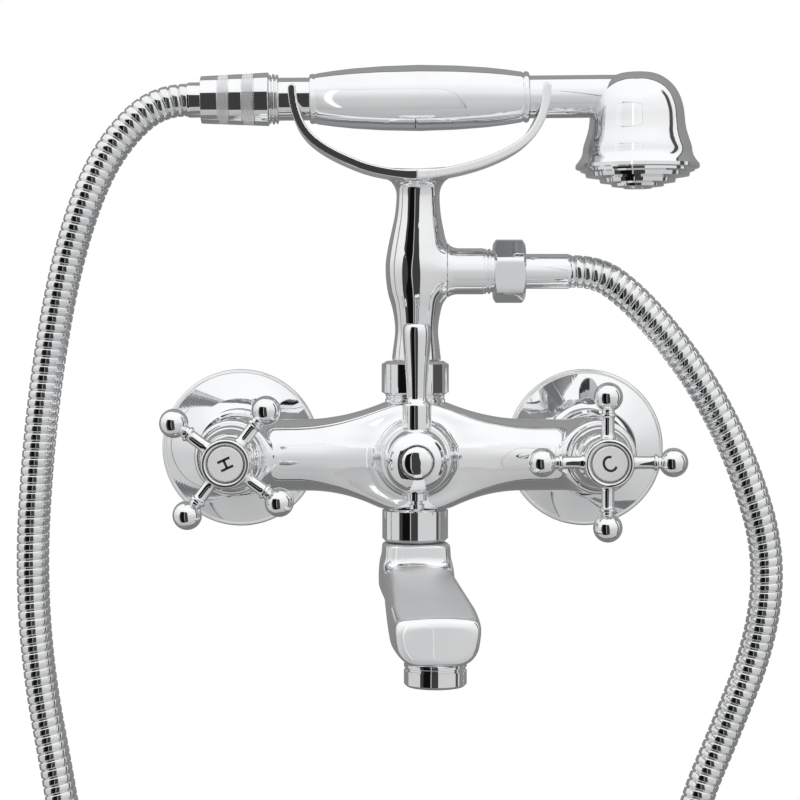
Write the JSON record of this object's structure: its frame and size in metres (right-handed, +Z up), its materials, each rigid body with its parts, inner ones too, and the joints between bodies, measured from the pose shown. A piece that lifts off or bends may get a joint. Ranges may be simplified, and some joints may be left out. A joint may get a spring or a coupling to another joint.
{
  "type": "wall mounted bath faucet",
  "caption": "Wall mounted bath mixer with cross handles, lever diverter, swivel spout and a cradle that holds a hand shower on a hanging metal hose.",
  "frame": {"origin": "on the wall plane, midway between the two supply pipes", "axes": "+Z up, +Y into the wall, +X to the right of someone facing the faucet"},
  "size_m": [0.3181, 0.1548, 0.6383],
  "materials": {
    "chrome": "polished",
    "hose_metal": "polished, ringed",
    "index": "satin",
    "brass": "machined",
    "ceramic": "lapped ceramic",
    "rubber": "matt",
    "steel": "plain",
    "plastic": "moulded"
  },
  "bodies": {
    "faucet": {"mixer_body": "chrome", "diverter_cartridge": "brass", "diverter_seal": "rubber", "diverter_fixed_disc": "ceramic", "riser_nut": "chrome", "riser_seal": "rubber", "riser_column": "chrome", "cradle": "chrome", "cradle_screw": "steel", "swivel_collar": "chrome", "hose": "hose_metal", "outlet_hose_nut": "chrome", "outlet_washer": "rubber", "outlet_ferrule": "chrome", "hot_union": "brass", "hot_rosette": "chrome", "hot_union_nut": "chrome", "hot_inlet_seal": "rubber", "hot_seat_seal": "rubber", "hot_fixed_disc": "ceramic", "hot_headwork": "brass", "hot_bonnet": "chrome", "cold_union": "brass", "cold_rosette": "chrome", "cold_union_nut": "chrome", "cold_inlet_seal": "rubber", "cold_seat_seal": "rubber", "cold_fixed_disc": "ceramic", "cold_headwork": "brass", "cold_bonnet": "chrome"},
    "hot_tap": {"hot_handle": "chrome", "hot_spindle": "brass", "hot_turning_disc": "ceramic", "hot_handle_screw": "steel", "hot_index": "index"},
    "cold_tap": {"cold_handle": "chrome", "cold_spindle": "brass", "cold_turning_disc": "ceramic", "cold_handle_screw": "steel", "cold_index": "index"},
    "diverter": {"diverter_turning_disc": "ceramic", "diverter_spindle": "brass", "diverter_dome": "chrome", "diverter_lever": "chrome", "diverter_stud": "chrome", "diverter_button": "chrome"},
    "spout_arm": {"spout": "chrome", "spout_clip": "brass", "spout_seals": "rubber", "aerator_housing": "chrome", "aerator_core": "plastic", "aerator_washer": "rubber"},
    "hand_shower": {"handset_tube": "chrome", "handset_grip": "chrome", "handset_head": "chrome", "spray_face": "chrome", "spray_seal": "rubber", "handset_nut": "chrome", "handset_washer": "rubber", "handset_ferrule": "chrome"}
  },
  "joints": [
    {"name": "hot_tap_turn", "type": "hinge", "parent": "faucet", "child": "hot_tap", "pos_m": [-0.075, 0, 0.0075], "axis": [0, -1, 0], "range_deg": [0, 180]},
    {"name": "cold_tap_turn", "type": "hinge", "parent": "faucet", "child": "cold_tap", "pos_m": [0.075, 0, 0.0075], "axis": [0, 1, 0], "range_deg": [0, 180]},
    {"name": "diverter_turn", "type": "hinge", "parent": "faucet", "child": "diverter", "pos_m": [0, 0, 0.0075], "axis": [0, 1, 0], "range_deg": [0, 90]},
    {"name": "spout_swivel", "type": "hinge", "parent": "faucet", "child": "spout_arm", "pos_m": [0, -0.05, 0.0075], "axis": [0, 0, 1], "range_deg": [-94.6, 85.4]},
    {"name": "handset_lift", "type": "slide", "parent": "faucet", "child": "hand_shower", "axis": [0, 0, 1], "range_m": [0, 0.06]}
  ]
}
